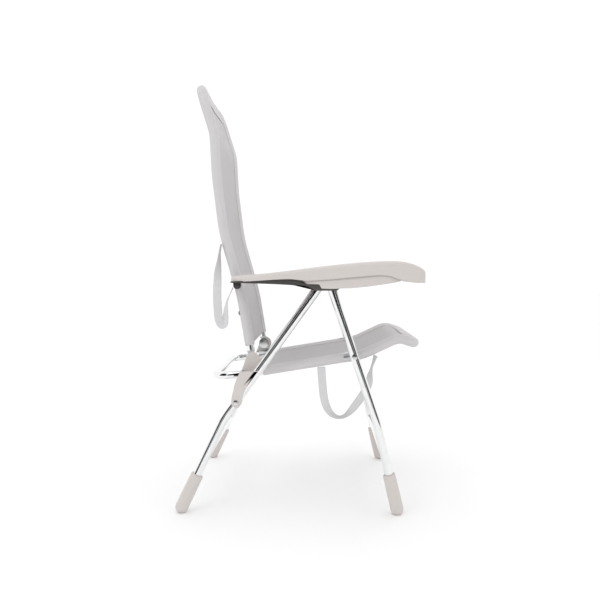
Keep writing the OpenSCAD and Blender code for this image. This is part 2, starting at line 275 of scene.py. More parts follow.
@dataclass(frozen=True)
class Moulded(Finish):
    """Moulded plastic with a fine spark-eroded grain and slight flow marks."""

    colour: Colour = (0.625, 0.583, 0.56)
    roughness: float = 0.46
    grain_pitch: float = 0.0011
    grain_depth: float = 0.00006

    def shade(self, graph: Graph) -> bpy.types.Material:
        """Colour drifts by a few percent, and the grain is noise at the grain pitch."""
        drift = graph.noise(9.0, 3.0)
        grain = graph.noise(1.0 / self.grain_pitch, 2.0)
        return graph.finish(
            {
                "Base Color": graph.shaded(drift, 0.94, self.colour),
                "Roughness": drift * 0.10 + (self.roughness - 0.05),
                "Normal": graph.bump(grain, self.grain_depth),
            }
        )


@dataclass(frozen=True)
class Woven(Finish):
    """Coated mesh cloth: round yarns in a basket weave with small dark holes between them."""

    yarn: Colour = (0.505, 0.487, 0.492)
    hole: Colour = (0.27, 0.265, 0.27)
    pitch: float = 0.0021
    depth: float = 0.00032

    def shade(self, graph: Graph) -> bpy.types.Material:
        """Yarn height is the larger of two sets of half-sine ridges that pass over and under."""
        u, v = graph.cloth_axes()
        along, across = ((length * (math.pi / self.pitch)).sine() for length in (u, v))
        over = along * across * 0.25
        height = (along.size() + over).larger(across.size() - over)
        open_spot = 1.0 - height.ramp(0.30, 0.72)
        cloth = graph.shaded(graph.noise(14.0, 3.0), 0.955, self.yarn)
        return graph.finish(
            {
                "Base Color": graph.mix(open_spot * 0.8, cloth, self.hole),
                "Roughness": open_spot * 0.2 + 0.55,
                "Normal": graph.bump(height, self.depth),
                "Sheen Weight": 0.12,
                "Sheen Roughness": 0.45,
            }
        )


@dataclass(frozen=True)
class Webbing(Finish):
    """Flat woven strap: ribs across it, a chevron of yarns and tighter selvedges."""

    colour: Colour = (0.72, 0.72, 0.73)
    shadow: Colour = (0.52, 0.52, 0.53)
    rib: float = 0.0022
    width: float = 0.022

    def shade(self, graph: Graph) -> bpy.types.Material:
        """Ribs are a sine of the length plus the distance from the strap's middle line."""
        u, v = graph.cloth_axes()
        off_middle = (v - self.width / 2.0).size()
        wave = ((u + off_middle) * (2.0 * math.pi / self.rib)).sine() * 0.5 + 0.5
        edge = off_middle.ramp(self.width * 0.42, self.width * 0.46)
        height = wave * (1.0 - edge * 0.6)
        return graph.finish(
            {
                "Base Color": graph.mix((height + 0.35).ramp(0.2, 1.0), self.shadow, self.colour),
                "Roughness": 0.72 - height * 0.12,
                "Normal": graph.bump(height, 0.00022),
                "Sheen Weight": 0.25,
            }
        )


@dataclass(frozen=True)
class Paper(Finish):
    """The pale floor."""

    colour: Colour = (0.975, 0.975, 0.975)

    def shade(self, graph: Graph) -> bpy.types.Material:
        """A matt colour with hardly any mottle."""
        mottled = graph.shaded(graph.noise(1.5, 2.0), 0.99, self.colour)
        return graph.finish({"Base Color": mottled, "Roughness": 0.9})


@dataclass(frozen=True)
class Flag(Finish):
    """A black studio flag."""

    def shade(self, graph: Graph) -> bpy.types.Material:
        """Flat black."""
        return graph.finish({"Base Color": (0.004, 0.004, 0.004, 1.0), "Roughness": 1.0})


POLISHED = Metal("polished_tube")
CAST = Metal("satin_bracket", colour=(0.62, 0.62, 0.63), roughness=0.34, smear=0.12, grain=0.00003)
STEEL = Metal("zinc_pin", colour=(0.70, 0.70, 0.71), roughness=0.24, smear=0.1, grain=0.00002)
DARK_DISC = Metal("black_disc", colour=(0.12, 0.115, 0.115), roughness=0.4, smear=0.1, grain=0.00003)
WARM_PLASTIC = Moulded("warm_grey_plastic")
PALE_PLASTIC = Moulded("pale_plug_plastic", colour=(0.55, 0.54, 0.53), roughness=0.5)
# Dark nylon for the racks and lugs; the strips under the armrest caps wear it as painted shade.
DARK_NYLON_AND_SHADE = Moulded("dark_nylon_and_painted_shade", colour=(0.065, 0.06, 0.057), roughness=0.5)
SLING_CLOTH = Woven("sling_cloth")
# The sleeve cloth is the sling cloth made lighter, in yarn and holes alike: a painted highlight for the
# light the rounded sleeve catches.
HEM_CLOTH_PAINTED_LIGHTER = Woven("hem_cloth_painted_lighter", yarn=(0.64, 0.62, 0.625), hole=(0.38, 0.37, 0.375))
STRAP_WEAVE = Webbing("strap_weave")
STITCH = Moulded("stitch_thread", colour=(0.62, 0.61, 0.61), roughness=0.7, grain_pitch=0.0004)


# ---------------------------------------------------------------- meshes


def grid_quads(rows: int, columns: int, wrap: bool) -> Array:
    """Quads of a grid whose points run column by column along each row.

    Args:
        rows: points along the first direction.
        columns: points along the second.
        wrap: whether the last column joins the first.

    Returns:
        Four vertex numbers for each quad, and for a wrapped grid the last column's number is 0 again.
    """
    i, j = np.meshgrid(np.arange(rows - 1), np.arange(columns if wrap else columns - 1), indexing="ij")
    k = (j + 1) % columns
    quads = np.stack([i * columns + j, i * columns + k, (i + 1) * columns + k, (i + 1) * columns + j], -1)
    return quads.reshape(-1, 4)


def cap_fan(ring: Array, hub: int) -> Array:
    """Triangles from a hub vertex to each side of a closed ring of vertex numbers."""
    return np.stack([np.full(len(ring), hub), ring, np.roll(ring, -1)], -1)


@dataclass
class Surface:
    """Points with faces, and a cloth length for each corner where a weave follows it."""

    points: Array
    faces: list[Array]
    uv: Array | None = None

    @classmethod
    def grid(cls, points: Array, wrap: bool = False, caps: bool = False) -> "Surface":
        """A surface through a grid of points.

        The cloth lengths are the mean distance along each grid direction, added up from its start.

        Args:
            points: rows x columns x 3.
            wrap: whether each row is a closed ring.
            caps: whether a wrapped grid's two ends are closed by fans to their middles.

        Returns:
            The surface.
        """
        rows, columns = points.shape[:2]
        flat = points.reshape(-1, 3)
        faces = [grid_quads(rows, columns, wrap)]
        ring = np.concatenate([points, points[:, :1]], 1) if wrap else points
        u = np.concatenate([[0.0], np.linalg.norm(np.diff(ring, axis=0), axis=2).mean(1).cumsum()])
        v = np.concatenate([[0.0], np.linalg.norm(np.diff(ring, axis=1), axis=2).mean(0).cumsum()])
        i, j = np.meshgrid(np.arange(rows - 1), np.arange(ring.shape[1] - 1), indexing="ij")
        corners = [(i, j), (i, j + 1), (i + 1, j + 1), (i + 1, j)]
        uv = np.stack([np.stack([u[a], v[b]], -1) for a, b in corners], 2).reshape(-1, 2)
        if caps:
            hubs = points[[0, -1]].mean(1)
            first, last = np.arange(columns), (rows - 1) * columns + np.arange(columns)
            faces += [cap_fan(first, len(flat))[:, ::-1], cap_fan(last, len(flat) + 1)]
            flat = np.concatenate([flat, hubs])
            uv = np.concatenate([uv, np.zeros((6 * columns, 2))])
        return cls(flat, faces, uv)

    def moved(self, offset: Point) -> "Surface":
        """The same surface, shifted."""
        return Surface(self.points + np.array(offset), self.faces, self.uv)

    def __add__(self, other: "Surface") -> "Surface":
        """Both surfaces as one."""
        shifted = [f + len(self.points) for f in other.faces]
        uv = None if self.uv is None or other.uv is None else np.concatenate([self.uv, other.uv])
        return Surface(np.concatenate([self.points, other.points]), self.faces + shifted, uv)

    def mirrored(self) -> "Surface":
        """The surface reflected to the other side of the chair, with its faces turned back out."""
        return Surface(self.points * np.array([1.0, -1.0, 1.0]), [f[:, ::-1] for f in self.faces], None)

    def piece(self, name: str, weld: float = 0.0) -> bpy.types.Object:
        """Makes the object.

        Args:
            name: the piece's name.
            weld: points nearer than this become one, and the faces are then turned outwards.

        Returns:
            The object, smooth shaded, at the origin.
        """
        mesh = bpy.data.meshes.new(name)
        mesh.from_pydata(self.points.tolist(), [], [f for part in self.faces for f in part.tolist()])
        if self.uv is not None:
            layer = mesh.uv_layers.new(name=UV_NAME)
            layer.data.foreach_set("uv", self.uv.astype(np.float32).ravel())
        if weld > 0.0:
            work = bmesh.new()
            work.from_mesh(mesh)
            bmesh.ops.remove_doubles(work, verts=work.verts, dist=weld)
            bmesh.ops.dissolve_degenerate(work, edges=work.edges, dist=weld / 4.0)
            bmesh.ops.recalc_face_normals(work, faces=work.faces)
            work.to_mesh(mesh)
            work.free()
        mesh.update()
        made = bpy.data.objects.new(name, mesh)
        bpy.context.scene.collection.objects.link(made)
        mesh.polygons.foreach_set("use_smooth", np.ones(len(mesh.polygons), bool))
        return made


def thicken(piece: bpy.types.Object, thickness: float, offset: float = 0.0) -> bpy.types.Object:
    """Gives a sheet its thickness; offset -1 grows it inwards and 0 both ways."""
    wall = piece.modifiers.new("wall", "SOLIDIFY")
    wall.thickness = thickness
    wall.offset = offset
    return piece


def crisp(piece: bpy.types.Object, angle: float = 38.0) -> bpy.types.Object:
    """Keeps edges sharper than angle degrees crisp in a smooth-shaded piece."""
    piece.data.set_sharp_from_angle(angle=math.radians(angle))
    return piece


def unit(vectors: Array) -> Array:
    """Vectors scaled to length 1 along the last axis."""
    return vectors / np.maximum(np.linalg.norm(vectors, axis=-1, keepdims=True), 1e-12)


def between(x: Array, places: Array, values: Array) -> Array:
    """Rows of values at x, on the straight lines between those given at places."""
    return np.stack([np.interp(x, places, column) for column in values.T], -1)


@dataclass
class BentLine:
    """A line of straights joined by arcs, the way a tube is bent, measured by its arc length.

    Each corner with bend radius r and turn a gives up r tan(a / 2) of both its straights to an arc.
    There is a radius for each corner, and those of the two ends aren't used.
    """

    corners: list[tuple[float, ...]]
    radii: list[float]
    step: float = 0.004
    points: Array = field(init=False)
    along: Array = field(init=False)

    def __post_init__(self) -> None:
        """Works out points a step apart and the length up to each."""
        p = np.array(self.corners, float)
        runs = [p[:1]]
        for before, corner, after, radius in zip(p, p[1:], p[2:], self.radii[1:]):
            d1, d2 = unit(corner - before), unit(after - corner)
            turn = math.acos(min(1.0, float(d1 @ d2)))
            if radius <= 0.0 or turn < 1e-4:
                runs.append(corner[None])
                continue
            cut = radius * math.tan(turn / 2.0)
            centre = corner + unit(d2 - d1) * radius / math.cos(turn / 2.0)
            out = unit(corner - d1 * cut - centre)
            angle = np.linspace(0.0, turn, 3 + int(radius * turn / self.step))[:, None]
            runs.append(centre + radius * (np.cos(angle) * out + np.sin(angle) * d1))
        rough = np.concatenate([*runs, p[-1:]])
        length = np.concatenate([[0.0], np.linalg.norm(np.diff(rough, axis=0), axis=1).cumsum()])
        self.along = np.linspace(0.0, length[-1], 2 + int(length[-1] / self.step))
        self.points = between(self.along, length, rough)

    @property
    def length(self) -> float:
        """The whole arc length."""
        return float(self.along[-1])

    def at(self, s: Array) -> Array:
        """Points at arc lengths s, running straight on past both ends."""
        inside = np.clip(s, 0.0, self.length)
        return between(inside, self.along, self.points) + self.heading(s) * (s - inside)[..., None]

    def heading(self, s: Array) -> Array:
        """Unit directions at arc lengths s, from a difference over two steps, or one past an end."""
        a = np.clip(s - self.step, 0.0, self.length - self.step)
        b = np.clip(s + self.step, self.step, self.length)
        return unit(between(b, self.along, self.points) - between(a, self.along, self.points))

    def left(self, s: Array) -> Array:
        """Unit directions to the left of the heading at arc lengths s, for a flat line."""
        ahead = self.heading(s)
        return np.stack([-ahead[..., 1], ahead[..., 0]], -1)


def bezier(control: list[tuple[float, float]], count: int) -> Array:
    """count points on the cubic curve of four control points."""
    t = np.linspace(0.0, 1.0, count)[:, None]
    a, b, c, d = (np.array(q, float) for q in control)
    return a * (1 - t) ** 3 + 3 * b * t * (1 - t) ** 2 + 3 * c * t**2 * (1 - t) + d * t**3


def turned(profile: list[tuple[float, float]], base: Point, axis: Point, sides: int = 40) -> Surface:
    """A surface of revolution.

    Args:
        profile: (distance along the axis, radius) from one pole to the other.
        base: the point the distances are measured from.
        axis: the axis direction.
        sides: points round it.

    Returns:
        The closed surface, its poles drawn together.
    """
    line = np.array(profile, float)
    z = unit(np.array(axis, float))
    x = unit(np.cross(z, [0.0, 0.0, 1.0] if abs(z[2]) < 0.9 else [1.0, 0.0, 0.0]))
    y = np.cross(z, x)
    angle = np.linspace(0.0, 2.0 * math.pi, sides, endpoint=False)
    round_it = np.cos(angle)[:, None] * x + np.sin(angle)[:, None] * y
    rings = np.array(base) + line[:, :1, None] * z + line[:, 1:2, None] * round_it[None]
    return Surface.grid(rings, wrap=True)


def plate(outline: Array, low: float, high: float, rim: float) -> Surface:
    """A plate with rounded rims: the outline, drawn in by the rim radius at both faces.

    Args:
        outline: closed points in the side plane.
        low: y of one face.
        high: y of the other.
        rim: the rim radius.

    Returns:
        The closed plate.
    """
    ahead = unit(np.roll(outline, -1, 0) - np.roll(outline, 1, 0))
    out = np.stack([ahead[:, 1], -ahead[:, 0]], -1)
    rims = [(low, -rim), (low + 0.3 * rim, -0.3 * rim), (low + rim, 0.0)]
    rims += [(high - rim, 0.0), (high - 0.3 * rim, -0.3 * rim), (high, -rim)]
    rings = [np.insert(outline + out * inset, 1, y, axis=1) for y, inset in rims]
    return Surface.grid(np.array(rings), wrap=True, caps=True)


def soft_corners(profile: list[tuple[float, float]], radius: float) -> list[tuple[float, float]]:
    """A lathe profile with each inner corner rounded to about radius by a three-point chamfer."""
    p = np.array(profile, float)
    out = [p[0]]
    for before, corner, after in zip(p, p[1:], p[2:]):
        r = min(radius, 0.45 * np.linalg.norm(corner - before), 0.45 * np.linalg.norm(after - corner))
        a, b = corner + unit(before - corner) * r, corner + unit(after - corner) * r
        out += [a, 0.25 * a + 0.5 * corner + 0.25 * b, b]
    return [tuple(q) for q in [*out, p[-1]]]


def show(
    piece: bpy.types.Object, finish: Finish, body: Body, slot: Slot, *stands_for: str
) -> bpy.types.Object:
    """Dresses a finished piece, makes it ride and names its slot.

    Args:
        piece: the object.
        finish: its finish.
        body: the body it rides on.
        slot: its material slot.
        stands_for: the CAD nodes that it replaces.

    Returns:
        The piece.
    """
    finish.dress(piece)
    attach(piece, body.value)
    if stands_for:
        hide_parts(*stands_for)
    LOG.info("%s rides on %s", piece.name, body.value)
    return piece


# ---------------------------------------------------------------- sub-assemblies


@dataclass
class Strap:
    """A carrying strap of flat webbing, swept along its route and twisted about it.

    Twist is (share of the length, degrees): at 0 degrees the strap is wide across the chair, and at 90
    degrees it is wide in the side plane.
    """

    name: str
    node: str
    body: Body
    route: list[tuple[float, float]]
    twist: list[tuple[float, float]]
    middle_y: float = -0.209
    width: float = 0.022
    thickness: float = 0.0022
    step: float = 0.004

    def rings(self) -> tuple[Array, Array]:
        """The smoothed centre line and the flat oval ring at each of its points.

        The line is the route, resampled by length and averaged with its neighbours three times. The
        twist is a running mean over nine points. Each ring is half the width times the cosine to the
        power 0.75 one way, and half the thickness times the sine to the power 0.35 the other way, so
        its faces are flat and its edges round.

        Returns:
            The centre points, and the rings as rows of points.
        """
        rough = BentLine(self.route, [0.0] * len(self.route), self.step)
        line = rough.points.copy()
        for _ in range(3):
            line[1:-1] = 0.25 * line[:-2] + 0.5 * line[1:-1] + 0.25 * line[2:]
        centre = np.stack([line[:, 0], np.full(len(line), self.middle_y), line[:, 1]], -1)
        ahead = unit(np.gradient(centre, axis=0))
        across = np.array([0.0, 1.0, 0.0])
        flat = unit(np.cross(ahead, across))
        share = np.linspace(0.0, 1.0, len(line))
        knots = np.array(self.twist, float)
        angle = np.radians(np.interp(share, knots[:, 0], knots[:, 1]))
        angle = np.convolve(np.pad(angle, 4, mode="edge"), np.ones(9) / 9.0, mode="valid")[:, None]
        wide = np.cos(angle) * across + np.sin(angle) * flat
        thin = np.cross(ahead, wide)
        t = np.linspace(0.0, 2.0 * math.pi, 24, endpoint=False)[:, None]
        c, s = np.cos(t), np.sin(t)
        w = self.width / 2.0 * np.sign(c) * np.abs(c) ** 0.75
        h = self.thickness / 2.0 * np.sign(s) * np.abs(s) ** 0.35
        return centre, centre[:, None] + w[None] * wide[:, None] + h[None] * thin[:, None]

    def build(self) -> bpy.types.Object:
        centre, rings = self.rings()
        surface = Surface.grid(rings, wrap=True, caps=True)
        sides = rings.shape[1]
        half = sides / 2.0
        ring_place = np.abs(np.mod(np.arange(sides + 1), sides) - half) / half
        j = np.tile(np.arange(sides), (len(centre) - 1, 1))
        v = self.width * np.stack([ring_place[k] for k in (j, j + 1, j + 1, j)], 2).reshape(-1)
        surface.uv[: len(v), 1] = v
        piece = surface.piece(self.name)
        show(piece, STRAP_WEAVE, self.body, Slot.WEBBING, self.node)
        return piece


@dataclass
class Sling:
    """A sling: a taut panel between the side tubes, with a hem sleeve round the tube frame.

    The cloth lies on a surface that is straight across the chair and follows the side tube's line.
    s is the length along that line, y the place across, and h the height off it towards the sitter.
    bow is how far the far rail's middle is drawn along the line and off it.
    """

    name: str
    node: str
    body: Body
    corners: list[tuple[float, float]]
    radii: list[float]
    start: float
    corner_radius: float
    rests_on: list[str]
    faces_up: bool
    hem_reach: float = 0.024
    lift: float = 0.0045
    sag: float = 0.005
    bow: tuple[float, float] = (0.0, 0.0)
    bow_reach: float = 0.15
    bow_round: float = 0.011
    half_width: float = 0.2025
    hem_radius: float = 0.0125
    cloth: float = 0.0009
    tuck: float = 0.003
    seam_gap: float = 0.0006
    stitch_pitch: float = 0.0046
    stitch_rows: tuple[float, float] = (0.0018, 0.0062)
    stitch_share: float = 0.68
    thread: float = 0.00042
    line: BentLine = field(init=False)

    def __post_init__(self) -> None:
        """Works out the side line."""
        self.line = BentLine(self.corners, self.radii)

    @property
    def end(self) -> float:
        """Length at which the frame's far rail runs across."""
        return self.line.length

    def bow_share(self, s: Array, y: Array) -> Array:
        """How much of the far rail's bow a place has: most at its middle, none at its ends.

        Along the line it fades as a square over bow_reach. Across the chair it falls off evenly, as the
        rail is two straights with a bend between.
        """
        near = np.clip(1.0 - (self.end - s) / self.bow_reach, 0.0, 1.0) ** 2
        return near * np.clip(1.0 - np.sqrt(y**2 + self.bow_round**2) / self.half_width, 0.0, 1.0)

    def lifted(self, s: Array, y: Array, h: Array) -> Array:
        """Points at length s, place y and height h, with the far rail's bow added."""
        share = self.bow_share(s, y)
        s_bowed = s - self.bow[0] * share
        normal = self.line.left(s_bowed) * (1.0 if self.faces_up else -1.0)
        height = h - self.bow[1] * share
        side = self.line.at(s_bowed) + normal * height[..., None]
        return np.stack([side[..., 0], y, side[..., 1]], -1)

    def rail_line(self, inset: float = 0.0, step: float = 0.004) -> BentLine:
        """The tube frame's line in the flat (s, y), or one that runs inset inside it."""
        w, end = self.half_width - inset, self.end - inset
        radius = max(self.corner_radius - inset, 0.006)
        corners = [(self.start, -w), (end, -w), (end, w), (self.start, w)]
        return BentLine(corners, [0.0, radius, radius, 0.0], step)

    def frame_line(self) -> tuple[Array, Array]:
        """The tube frame's line in the flat (s, y), and the direction inwards at each point."""
        flat = self.rail_line()
        return flat.points, flat.left(flat.along)

    def hem_profile(self, count: int = 30) -> Array:
        """A teardrop round the tube: an arc, and the two tangents to the seam line inboard of it.

        Returns:
            (inward, height) pairs round the closed teardrop, which start and end at the seam.
        """
        reach = math.hypot(self.hem_reach, self.lift)
        middle = math.atan2(self.lift, self.hem_reach)
        half = math.acos(self.hem_radius / reach)
        angle = np.linspace(middle + half, middle - half + 2.0 * math.pi, count)
        arc = self.hem_radius * np.stack([np.cos(angle), np.sin(angle)], -1)
        seam = np.array([self.hem_reach, self.lift])
        t = np.linspace(0.0, 1.0, 7)[:, None]
        above, below = seam + np.array([0.0, self.seam_gap]), seam - np.array([0.0, self.seam_gap])
        out, back = above + (arc[0] - above) * t[:-1], arc[-1] + (below - arc[-1]) * t[1:]
        return np.concatenate([out, arc, back])

    def panel_height(self, s: Array, y: Array) -> Array:
        """Height of the panel: the seam's lift, less a sag that is deepest at the middle of the span."""
        across = np.clip(1.0 - (y / (self.half_width - self.hem_reach)) ** 2, 0.0, 1.0)
        span = np.clip((s - self.start) / (self.end - self.start), 0.0, 1.0)
        return self.lift - self.sag * across * np.sin(math.pi * span) ** 0.7

    def hem(self) -> bpy.types.Object:
        """The sleeve: the teardrop carried along the frame's line."""
        flat, inward = self.frame_line()
        profile = self.hem_profile()
        place = flat[:, None] + profile[None, :, :1] * inward[:, None]
        s, y = place[..., 0], place[..., 1]
        h = np.broadcast_to(profile[None, :, 1], s.shape)
        piece = Surface.grid(self.lifted(s, y, h)).piece(f"{self.name}_hem")
        return thicken(piece, self.cloth)

    def panel(self) -> bpy.types.Object:
        """The panel: an even grid in (s, y), its edge tucked into the sleeve."""
        edge = self.half_width - self.hem_reach + self.tuck
        s = np.linspace(self.start + 0.001, self.end - self.hem_reach + self.tuck, 150)[:, None]
        y = np.linspace(-edge, edge, 90)[None]
        s, y = np.broadcast_arrays(s, y)
        piece = Surface.grid(self.lifted(s, y, self.panel_height(s, y))).piece(f"{self.name}_panel")
        return thicken(piece, self.cloth)

    def stitches(self) -> bpy.types.Object:
        """Two rows of thread just inboard of the seam, on both faces of the panel.

        Each stitch is a spindle of two square rings with a point at each end, laid along the seam.
        """
        spindle = np.array(
            [(-0.5, 0, 0)]
            + [(a, b, c) for a in (-0.3, 0.3) for b, c in ((1, 0), (0, 1), (-1, 0), (0, -1))]
            + [(0.5, 0, 0)],
            float,
        )
        ring = [[0, k, k % 4 + 1] for k in range(1, 5)] + [[9, k % 4 + 5, k + 4] for k in range(1, 5)]
        wall = [[k, k + 4, k % 4 + 5] for k in range(1, 5)]
        wall += [[k, k % 4 + 5, k % 4 + 1] for k in range(1, 5)]
        faces = np.array(ring + wall)
        points, made = [], []
        for row in self.stitch_rows:
            path = self.rail_line(self.hem_reach + row, self.stitch_pitch)
            ahead, side = path.heading(path.along)[:, None], path.left(path.along)[:, None]
            length, thick = self.stitch_share * self.stitch_pitch, self.thread
            place = path.points[:, None] + side * spindle[None, :, 1:2] * thick
            place = place + ahead * spindle[None, :, :1] * length
            s, y = place[..., 0], place[..., 1]
            for face in (1.0, -1.0):
                h = self.panel_height(s, y) + face * self.cloth * 0.55 + spindle[None, :, 2] * thick
                points.append(self.lifted(s, y, h).reshape(-1, 3))
                starts = np.arange(len(path.along))[:, None, None] * len(spindle)
                made.append((faces[None] + starts).reshape(-1, 3))
        total = Surface(points[0], [made[0]])
        for more, shape in zip(points[1:], made[1:]):
            total = total + Surface(more, [shape])
        return total.piece(f"{self.name}_stitches")

    def build(self) -> None:
        """Makes panel, sleeve and stitches."""
        panel, hem, stitches = self.panel(), self.hem(), self.stitches()
        show(panel, SLING_CLOTH, self.body, Slot.SLING, self.node)
        # The sleeve wears the lighter copy of the sling cloth, a painted highlight.
        show(hem, HEM_CLOTH_PAINTED_LIGHTER, self.body, Slot.SLING)
        show(stitches, STITCH, self.body, Slot.SLING)
        flat, _ = self.frame_line()


@dataclass
class Armrest:
    """A hollow moulded armrest: a rounded cap over a narrower rack housing.

    The cap's plan is a long oval with blunt ends. Its surface runs from the rim up the wall, over a
    rounded edge and in to the middle line. Its top is two Bezier curves in the side plane, and its rim
    and the housing's are lines of (x, z) points.
    """

    middle_y: float = 0.270
    half_width: float = 0.0345
    rear: float = -0.174
    front: float = 0.3242
    wall: float = 0.0032
    edge_radius: float = 0.0085
    crown: float = 0.0018
    housing_rear: float = 0.008
    housing_front: float = 0.262
    housing_half_width: float = 0.0308
    top_curve: list[list[tuple[float, float]]] = field(
        default_factory=lambda: [
            [(-0.174, 0.6195), (-0.060, 0.620), (0.060, 0.650), (0.215, 0.6565)],
            [(0.240, 0.6568), (0.278, 0.6568), (0.302, 0.648), (0.3242, 0.634)],
        ]
    )
    cap_edge: list[tuple[float, float]] = field(
        default_factory=lambda: [
            (-0.174, 0.6045), (-0.120, 0.6065), (-0.060, 0.6105), (-0.020, 0.6120), (0.002, 0.6095),
            (0.025, 0.6065), (0.070, 0.6098), (0.118, 0.6138), (0.165, 0.6185), (0.200, 0.6215),
            (0.228, 0.6205), (0.252, 0.6120), (0.275, 0.6050), (0.300, 0.6025), (0.3242, 0.6018),
        ]
    )
    housing_edge: list[tuple[float, float]] = field(
        default_factory=lambda: [
            (0.008, 0.6110), (0.016, 0.6030), (0.030, 0.5935), (0.048, 0.5885), (0.080, 0.5870),
            (0.130, 0.5885), (0.170, 0.5920), (0.216, 0.5985), (0.245, 0.6030), (0.262, 0.6075),
        ]
    )

    @staticmethod
    def smooth(points: list[tuple[float, float]] | Array, x: Array) -> Array:
        """Height of a side-plane curve at x: straight lines between its points, averaged over 12 mm."""
        p = np.array(points, float)
        reach = np.linspace(-0.006, 0.006, 7)
        return np.mean([np.interp(x + r, p[:, 0], p[:, 1]) for r in reach], axis=0)

    def top(self, x: Array) -> Array:
        """Height of the cap's top at x."""
        return self.smooth(np.concatenate([bezier(c, 24) for c in self.top_curve]), x)

    @staticmethod
    def oval(count: int, blunt: float) -> tuple[Array, Array]:
        """Cosine and sine of a closed superellipse, whose corners fill out as blunt grows."""
        t = np.linspace(0.0, 2.0 * math.pi, count, endpoint=False)
        t = t + 0.18 * np.sin(2.0 * t)
        c, s = np.cos(t), np.sin(t)
        return np.sign(c) * np.abs(c) ** (2.0 / blunt), np.sign(s) * np.abs(s) ** (2.0 / blunt)

    def cap(self) -> Surface:
        """The cap as a grid of inset outlines, each row further in and at its own height."""
        c, s = self.oval(220, 5.0)
        middle, reach = (self.rear + self.front) / 2.0, (self.front - self.rear) / 2.0
        rows = []
        for share in (0.0, 0.12, 0.45, 0.8, 1.0):
            x = middle + reach * c
            low, high = self.smooth(self.cap_edge, x), self.top(x) - self.edge_radius
            rows.append(np.stack([x, self.half_width * s, low + (high - low) * share], -1))
        for angle in np.linspace(0.0, math.pi / 2.0, 9)[1:]:
            inset = self.edge_radius * (1.0 - math.cos(angle))
            x = middle + (reach - inset) * c
            z = self.top(x) - self.edge_radius * (1.0 - math.sin(angle))
            rows.append(np.stack([x, (self.half_width - inset) * s, z], -1))
        for share in np.linspace(0.0, 1.0, 9)[1:]:
            inset = self.edge_radius + (self.half_width - self.edge_radius) * share
            x = middle + (reach - inset) * c
            z = self.top(x) + self.crown * math.sin(share * math.pi / 2.0)
            rows.append(np.stack([x, (self.half_width - inset) * s, z], -1))
        return Surface.grid(np.array(rows), wrap=True)

    def housing(self) -> Surface:
        """The rack housing's wall: an oval carried from inside the cap down to its curved edge."""
        c, s = self.oval(160, 6.0)
        middle = (self.housing_rear + self.housing_front) / 2.0
        x = middle + (self.housing_front - self.housing_rear) / 2.0 * c
        low, high = self.smooth(self.housing_edge, x), self.smooth(self.cap_edge, x) + 0.006
        shares = np.array([0.0, 0.05, 0.3, 0.6, 1.0])[:, None]
        z = low + (high - low) * shares
        y = self.housing_half_width * (1.0 - 0.012 * (1.0 - shares)) * s
        return Surface.grid(np.stack([np.broadcast_to(x, z.shape), y, z], -1), wrap=True)

    def build(self) -> None:
        """Makes both armrests."""
        for name, side in SIDES.items():
            place = (0.0, side * self.middle_y, 0.0)
            cap = thicken(self.cap().moved(place).piece(f"armrest_cap_{name}", 1e-5), self.wall, -1.0)
            show(cap, WARM_PLASTIC, Body.ARMS, Slot.PLASTIC, f"armrest_{name}")
            housing = self.housing().moved(place).piece(f"rack_housing_{name}", 1e-6)
            thicken(housing, 0.0024, -1.0)
            show(housing, WARM_PLASTIC, Body.ARMS, Slot.PLASTIC)
            # The dark strips under each cap are painted shade for its shaded inner wall.
            self.shade_strips(name, side)
            self.lug(name, side)

    def shade_strips(self, name: str, side: float) -> None:
        """Dark strips below the cap, on both its sides, which reach to its rear end: painted shade that
        stands for the shaded inner wall under the cap.
        """
        top = [(x, z + 0.002) for x, z in self.cap_edge if x < 0.0]
        low = [(0.105, 0.5880), (0.098, 0.5825), (0.042, 0.5825), (0.031, 0.5885), (0.018, 0.5940)]
        low += [(0.0, 0.5955), (-0.060, 0.5990), (-0.120, 0.6010)]
        for word, out, rear in (("outer", 1.0, -0.1725), ("inner", -1.0, -0.145)):
            ends = [(rear, 0.6022), (rear, 0.6060)]
            upper = [q for q in top if q[0] > rear] + [(0.020, 0.5990), (0.105, 0.5990)]
            outline = np.array([*low, *ends, *upper])
            near, far = (self.middle_y + out * y for y in (0.0246, 0.0302))
            strip = plate(outline[::-1], min(near, far), max(near, far), 0.0006)
            strip = strip if side > 0 else strip.mirrored()
            piece = Surface(strip.points, strip.faces).piece(f"rack_strip_{word}_{name}", 1e-7)
            show(crisp(piece), DARK_NYLON_AND_SHADE, Body.ARMS, Slot.RACK)

    def lug(self, name: str, side: float) -> None:
        """The eye under the rear end that takes the arm pin: a turned boss and a web up to the cap."""
        inner, deep, hole, rim = 0.238, 0.006, 0.0042, 0.010
        eye_x, eye_z, web_foot, web_top = -0.163, 0.595, 0.598, 0.6185
        ring = [(0.0, hole), (0.0, rim), (deep, rim), (deep, hole), (0.0, hole)]
        boss = turned(soft_corners(ring, 0.0008), (eye_x, side * inner, eye_z), (0.0, side, 0.0))
        web_x = np.array([eye_x - rim, eye_x + rim, eye_x + rim, eye_x - rim])
        web_z = np.array([web_foot, web_foot, web_top, web_top])
        faces_y = (side * inner, side * (inner + deep))
        web = np.stack([np.stack([web_x, np.full(4, y), web_z], -1) for y in faces_y], 0)
        shape = boss + Surface.grid(web, wrap=True, caps=True)
        show(shape.piece(f"arm_lug_{name}", 1e-6), DARK_NYLON_AND_SHADE, Body.ARMS, Slot.RACK)


